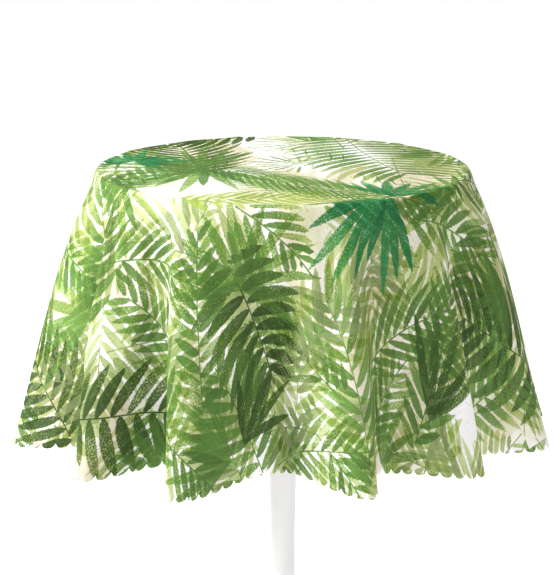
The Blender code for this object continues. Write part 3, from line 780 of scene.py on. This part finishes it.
def lay_print(mesh, name, layers, fronds):
    """Gives each layer of the print its fronds: a corner's place in its frond, and the frond's size and habit.

    No two fronds of a layer share a face."""
    corners = len(mesh.loops)
    cut = np.zeros(corners * 2, np.float32)
    mesh.uv_layers["cut"].data.foreach_get("uv", cut)
    cut = cut.reshape(-1, 2).astype(float)
    starts = np.zeros(len(mesh.polygons), np.int32)
    sizes = np.zeros(len(mesh.polygons), np.int32)
    mesh.polygons.foreach_get("loop_start", starts)
    mesh.polygons.foreach_get("loop_total", sizes)
    middles = np.add.reduceat(cut, starts) / sizes[:, None]
    face_of = np.repeat(np.arange(len(starts)), sizes)
    taken = np.zeros((layers, len(starts)), bool)
    place = np.zeros((layers, corners, 3), np.float32)
    facts = np.zeros((2, layers, len(starts), 3), np.float32)
    for number, (foot_x, foot_y, heading, bend, inside, size, habit) in enumerate(fronds):
        ahead, aside = along_frond(middles, foot_x, foot_y, heading, bend)
        covers = inside(ahead, aside)
        free = [layer for layer in range(layers) if not (taken[layer] & covers).any()]
        if not free:
            print("no room in the print for", name, number)
            continue
        layer = free[0]
        taken[layer] |= covers
        corner = covers[face_of]
        ahead, aside = along_frond(cut[corner], foot_x, foot_y, heading, bend)
        seeds = np.full_like(ahead, number + 1)
        place[layer, corner] = np.stack([ahead, aside, seeds], axis=1)
        for kind, fact in enumerate((size, habit)):
            facts[kind, layer, covers] = fact
    for layer in range(layers):
        values = mesh.attributes.new(f"{name}_place_{layer}", "FLOAT_VECTOR", "CORNER")
        values.data.foreach_set("vector", place[layer].ravel())
        for kind, word in enumerate(("size", "habit")):
            values = mesh.attributes.new(f"{name}_{word}_{layer}", "FLOAT_VECTOR", "FACE")
            values.data.foreach_set("vector", facts[kind, layer].ravel())


def turned_round(fronds):
    """The same fronds again at the back of the cloth, turned by half a turn, for those on the skirt."""
    behind = [(-f[0], -f[1], f[2] + 180, *f[3:]) for f in fronds if math.hypot(f[0], f[1]) > 0.33]
    return list(fronds) + behind


def feather_room(length, leaf):
    return lambda ahead, aside: (ahead > -0.01) & (ahead < length + 0.6 * leaf) & (np.abs(aside) < leaf + 0.006)


def fan_room(leaf):
    return lambda ahead, aside: np.hypot(ahead, aside) < 1.12 * leaf


feathers = [
    (x, y, heading, bend, feather_room(length, leaf), (length, leaf, pitch), (lean, speckle, ink))
    for x, y, heading, length, leaf, pitch, lean, bend, speckle, ink in turned_round(FEATHERS)
]
fans = [
    (x, y, heading, 0, fan_room(leaf), (leaf, math.radians(half), math.radians(step)), (0, speckle, ink))
    for x, y, heading, leaf, half, step, speckle, ink in turned_round(FANS)
]
lay_print(tablecloth.data, "feather", FEATHER_LAYERS, feathers)
lay_print(tablecloth.data, "fan", FAN_LAYERS, fans)


LEAF_SOCKETS = [("Place", "Vector"), ("Size", "Vector"), ("Habit", "Vector"), ("Rag", "Float")]
LEAF_RESULTS = [("Leaf", "Float"), ("Share", "Float"), ("Luck", "Float"), ("Streak", "Float")]


def finish_leaf(group, results, rag, luck, share, off, half_width, valid, stem):
    """The part of a leaflet's drawing that feathers and fans have in common."""
    spare = sum_of(group, "SUBTRACT", half_width, sum_of(group, "ABSOLUTE", off))
    ragged = times_plus(group, sum_of(group, "SUBTRACT", rag, 0.5), 0.0045, spare)
    leaf = times(group, ramp_between(group, ragged, -0.0003, 0.0005), valid)
    leaf = at_least(group, leaf, stem)
    grain = vector_of(group, times(group, off, 420.0), times(group, share, 5.0), luck)
    for name, value in (("Leaf", leaf), ("Share", share), ("Luck", luck), ("Streak", noise(group, grain, 1.0, 3.0))):
        group.links.new(value, results[name])


def leaf_width(group, share, width):
    """Half the width of a lance-shaped leaflet, widest before its middle."""
    base = sum_of(group, "POWER", at_least(group, share, 0.004), 0.55)
    tip = sum_of(group, "POWER", at_least(group, sum_of(group, "SUBTRACT", 1.0, share), 0.0), 0.75)
    return times(group, times(group, base, tip), width)


def make_feather():
    """Leaflets in two rows along a stem."""
    group, given, results = new_group("feather_frond", LEAF_SOCKETS, LEAF_RESULTS)
    ahead, aside, seed = parts_of(group, given["Place"])
    length, leaf, pitch = parts_of(group, given["Size"])
    lean = parts_of(group, given["Habit"])[0]
    out = sum_of(group, "ABSOLUTE", aside)
    side = sum_of(group, "SIGN", aside)
    tip = sum_of(group, "DIVIDE", ahead, at_least(group, length, 0.01))
    tip = sum_of(group, "MINIMUM", at_least(group, tip, 0.0), 1.2)
    slope = times_plus(group, times(group, tip, tip), TIP_SWEEP, lean)
    arch = times(group, times(group, out, out), LEAF_ARCH)
    foot = sum_of(group, "SUBTRACT", sum_of(group, "SUBTRACT", ahead, times(group, out, slope)), arch)
    count = sum_of(group, "DIVIDE", foot, at_least(group, pitch, 0.001))
    count = times_plus(group, side, 0.25, count)
    number = sum_of(group, "ROUND", count)
    chance = group.nodes.new("ShaderNodeTexWhiteNoise")
    group.links.new(vector_of(group, number, side, seed), chance.inputs["Vector"])
    luck = chance.outputs["Value"]
    start = sum_of(group, "DIVIDE", times(group, number, pitch), at_least(group, length, 0.01))
    hump = times_plus(group, start, 0.80, 0.14)
    hump = times(group, hump, sum_of(group, "SUBTRACT", 1.0, hump))
    hump = sum_of(group, "SQRT", at_least(group, times(group, hump, 4.0), 0.02))
    own = times_plus(group, luck, 0.35, 0.72)
    own = times(group, own, times(group, hump, leaf))
    stretch = sum_of(group, "SQRT", times_plus(group, slope, slope, 1.0))
    share = sum_of(group, "DIVIDE", times(group, out, stretch), at_least(group, own, 0.005))
    square = sum_of(group, "DIVIDE", pitch, stretch)
    off = times(group, sum_of(group, "SUBTRACT", count, number), square)
    half_width = leaf_width(group, share, times(group, square, LEAF_FILL))
    valid = sum_of(group, "GREATER_THAN", start, -0.01)
    valid = times(group, valid, sum_of(group, "LESS_THAN", start, 1.01))
    valid = times(group, valid, sum_of(group, "GREATER_THAN", length, 0.01))
    stem = ramp_between(group, out, 0.0009, 0.0018, 1.0, 0.0)
    stem = times(group, stem, sum_of(group, "GREATER_THAN", ahead, 0.0))
    stem = times(group, stem, sum_of(group, "LESS_THAN", ahead, length))
    finish_leaf(group, results, given["Rag"], luck, share, off, half_width, valid, stem)
    return group


def make_fan():
    """Leaflets round a hub."""
    group, given, results = new_group("fan_frond", LEAF_SOCKETS, LEAF_RESULTS)
    ahead, aside, seed = parts_of(group, given["Place"])
    leaf, opening, step = parts_of(group, given["Size"])
    angle = sum_of(group, "ARCTAN2", aside, ahead)
    step = at_least(group, step, 0.01)
    number = sum_of(group, "ROUND", sum_of(group, "DIVIDE", angle, step))
    centre = times(group, number, step)
    chance = group.nodes.new("ShaderNodeTexWhiteNoise")
    group.links.new(vector_of(group, number, 7.0, seed), chance.inputs["Vector"])
    luck = chance.outputs["Value"]
    swing = times_plus(group, sum_of(group, "SUBTRACT", luck, 0.5), 0.10, centre)
    turn = sum_of(group, "SUBTRACT", angle, swing)
    reach = sum_of(group, "SQRT", times_plus(group, ahead, ahead, times(group, aside, aside)))
    off = times(group, reach, sum_of(group, "SINE", turn))
    own = times(group, times_plus(group, luck, 0.40, 0.68), leaf)
    along = times(group, reach, sum_of(group, "COSINE", turn))
    share = sum_of(group, "DIVIDE", along, at_least(group, own, 0.005))
    half_width = leaf_width(group, share, FAN_LEAF_WIDTH)
    valid = sum_of(group, "LESS_THAN", sum_of(group, "ABSOLUTE", centre), opening)
    valid = times(group, valid, sum_of(group, "GREATER_THAN", leaf, 0.01))
    finish_leaf(group, results, given["Rag"], luck, share, off, half_width, valid, 0.0)
    return group


def make_inking():
    """One transparent ink over what is already printed: streaked along the leaf, and speckled where it ran dry."""
    sockets = [("Under", "Color"), ("Habit", "Vector"), ("Speckle", "Float"), ("Patch", "Float")]
    group, given, results = new_group("ink_over", sockets + LEAF_RESULTS, [("Colour", "Color")])
    _, dryness, number = parts_of(group, given["Habit"])
    ink = group.nodes.new("ShaderNodeValToRGB")
    ink.color_ramp.interpolation = "CONSTANT"
    while len(ink.color_ramp.elements) < len(INKS):
        ink.color_ramp.elements.new(1.0)
    for place, (stop, tone) in enumerate(zip(ink.color_ramp.elements, INKS)):
        stop.position = place / len(INKS)
        stop.color = (*tone, 1)
    group.links.new(sum_of(group, "DIVIDE", sum_of(group, "ADD", number, 0.5), float(len(INKS))), ink.inputs[0])
    reach = times_plus(group, given["Share"], 0.35, times(group, given["Patch"], 0.9))
    reach = sum_of(group, "ADD", reach, times(group, given["Luck"], 0.35))
    dryness = times_plus(group, dryness, 1.3, 0.1)
    dry = times(group, ramp_between(group, reach, 0.55, 1.15), dryness)
    fleck = ramp_between(group, times_plus(group, dry, 0.42, given["Speckle"]), 0.62, 0.72)
    tint = times_plus(group, given["Luck"], 0.5, 0.72)
    tint = times_plus(group, sum_of(group, "SUBTRACT", given["Streak"], 0.5), 0.9, tint)
    tint = times_plus(group, given["Share"], 0.18, tint)
    shade = group.nodes.new("ShaderNodeVectorMath")
    shade.operation = "SCALE"
    group.links.new(ink.outputs[0], shade.inputs[0])
    group.links.new(tint, shade.inputs["Scale"])
    film = mixed(group, 0.5, (1.0, 1.0, 1.0), given["Under"])
    wet = mixed(group, 1.0, shade.outputs[0], film, "MULTIPLY")
    bare = mixed(group, 1.0, (0.56, 0.66, 0.28), given["Under"], "MULTIPLY")
    spotted = mixed(group, fleck, wet, bare)
    cover = times(group, given["Leaf"], ramp_between(group, dry, 0.2, 1.2, 0.97, 0.72))
    group.links.new(mixed(group, cover, given["Under"], spotted), results["Colour"])
    return group


feather_frond = make_feather()
fan_frond = make_fan()
ink_over = make_inking()

tree = print_ink.node_tree
vinyl = tree.nodes["Principled BSDF"]
cut_place = tree.nodes.new("ShaderNodeUVMap")
cut_place.uv_map = "cut"
cut_place = cut_place.outputs[0]
speckle = noise(tree, cut_place, 330.0, 2.0, 0.65)
patch = noise(tree, cut_place, 13.0, 2.0)
rag = noise(tree, cut_place, 210.0, 2.0, 0.6)
brush = tree.nodes.new("ShaderNodeMapping")
brush.inputs["Scale"].default_value = (1.0, 0.35, 1.0)
tree.links.new(cut_place, brush.inputs["Vector"])
wash = ramp_between(tree, noise(tree, brush.outputs[0], 7.0, 4.0, 0.6), 0.42, 0.60)
moss = ramp_between(tree, noise(tree, brush.outputs[0], 5.0, 3.0, 0.6), 0.52, 0.68)
ground = mixed(tree, wash, WHITE_FILM, KHAKI_WASH)
ground = mixed(tree, times(tree, moss, 0.75), ground, MOSS_WASH)


def attribute(tree, name):
    made = tree.nodes.new("ShaderNodeAttribute")
    made.attribute_name = name
    return made.outputs["Vector"]


def inked(colour, frond, habit):
    """The colour with a frond's ink over it."""
    inking = tree.nodes.new("ShaderNodeGroup")
    inking.node_tree = ink_over
    terms = [("Under", colour), ("Habit", habit), ("Speckle", speckle), ("Patch", patch)]
    terms += [(word, frond.outputs[word]) for word in ("Leaf", "Share", "Luck", "Streak")]
    for word, value in terms:
        tree.links.new(value, inking.inputs[word])
    return inking.outputs["Colour"]


def print_layer(colour, name, group, layer):
    """Draws one layer of fronds over the colour and gives the new one."""
    habit = attribute(tree, f"{name}_habit_{layer}")
    frond = tree.nodes.new("ShaderNodeGroup")
    frond.node_tree = group
    tree.links.new(attribute(tree, f"{name}_place_{layer}"), frond.inputs["Place"])
    tree.links.new(attribute(tree, f"{name}_size_{layer}"), frond.inputs["Size"])
    tree.links.new(habit, frond.inputs["Habit"])
    tree.links.new(rag, frond.inputs["Rag"])
    return inked(colour, frond, habit)


middle_distance = tree.nodes.new("ShaderNodeVectorMath")
middle_distance.operation = "LENGTH"
tree.links.new(cut_place, middle_distance.inputs[0])
sparse = ramp_between(tree, middle_distance.outputs["Value"], 0.24, 0.32, 1.4, 0.0)


def strewn_layer(colour, cells, shift, group, size, habit, start):
    """Pale fronds all over the cut, one to a cell, each turned its own way and tapering off before the cell ends."""
    place = node_output(tree, "ShaderNodeMapping", [("Vector", cut_place), ("Location", shift)])
    cell = tree.nodes.new("ShaderNodeTexVoronoi")
    edge = tree.nodes.new("ShaderNodeTexVoronoi")
    edge.feature = "DISTANCE_TO_EDGE"
    for texture in (cell, edge):
        texture.voronoi_dimensions = "2D"
        texture.inputs["Scale"].default_value = cells
        tree.links.new(place, texture.inputs["Vector"])
    away = tree.nodes.new("ShaderNodeVectorMath")
    away.operation = "SUBTRACT"
    tree.links.new(place, away.inputs[0])
    tree.links.new(cell.outputs["Position"], away.inputs[1])
    first, second, third = parts_of(tree, cell.outputs["Color"])
    turned = tree.nodes.new("ShaderNodeVectorRotate")
    turned.rotation_type = "Z_AXIS"
    tree.links.new(away.outputs[0], turned.inputs["Vector"])
    tree.links.new(times(tree, first, 2 * math.pi), turned.inputs["Angle"])
    ahead, aside, _ = parts_of(tree, turned.outputs[0])
    own_place = vector_of(tree, sum_of(tree, "ADD", ahead, start), aside, times(tree, second, 90.0))
    taper = times_plus(tree, ramp_between(tree, edge.outputs["Distance"], 0.0, 0.13, 1.0, 0.0), 3.0, sparse)
    lean, dryness, ink, other_ink = habit
    chosen = sum_of(tree, "GREATER_THAN", third, 0.5)
    habit = vector_of(tree, lean, dryness, times_plus(tree, chosen, float(other_ink - ink), float(ink)))
    frond = tree.nodes.new("ShaderNodeGroup")
    frond.node_tree = group
    tree.links.new(own_place, frond.inputs["Place"])
    tree.links.new(vector_of(tree, *size), frond.inputs["Size"])
    tree.links.new(habit, frond.inputs["Habit"])
    tree.links.new(sum_of(tree, "SUBTRACT", rag, taper), frond.inputs["Rag"])
    return inked(colour, frond, habit)


# Cells to the metre, shift, frond, its size, its lean, speckle and two inks, and where it starts in its cell.
STREWN = (
    (4.4, (0.31, 0.17, 0), feather_frond, (0.34, 0.150, 0.027), (0.7, 0.75, PALE_GREEN, LEAF_GREEN), 0.17),
    (3.9, (1.63, 2.41, 0), fan_frond, (0.190, 2.1, 0.30), (0.0, 0.65, PALE_GREEN, FRESH_GREEN), -0.02),
    (4.9, (3.13, 1.29, 0), feather_frond, (0.30, 0.120, 0.025), (0.9, 0.55, LEAF_GREEN, PALE_GREEN), 0.15),
)
colour = ground
for strewn in STREWN:
    colour = strewn_layer(colour, *strewn)
for layer in range(FEATHER_LAYERS):
    colour = print_layer(colour, "feather", feather_frond, layer)
for layer in range(FAN_LAYERS):
    colour = print_layer(colour, "fan", fan_frond, layer)
tree.links.new(colour, vinyl.inputs["Base Color"])
vinyl.inputs["Roughness"].default_value = 0.6
vinyl.inputs["Specular IOR Level"].default_value = 0.18
crease = noise(tree, brush.outputs[0], 9.0, 3.0, 0.55)
emboss = noise(tree, cut_place, 900.0, 2.0)
creased = node_output(tree, "ShaderNodeBump", [("Distance", 0.010), ("Height", crease)])
embossed = node_output(tree, "ShaderNodeBump", [("Distance", 0.0004), ("Height", emboss), ("Normal", creased)])
tree.links.new(embossed, vinyl.inputs["Normal"])
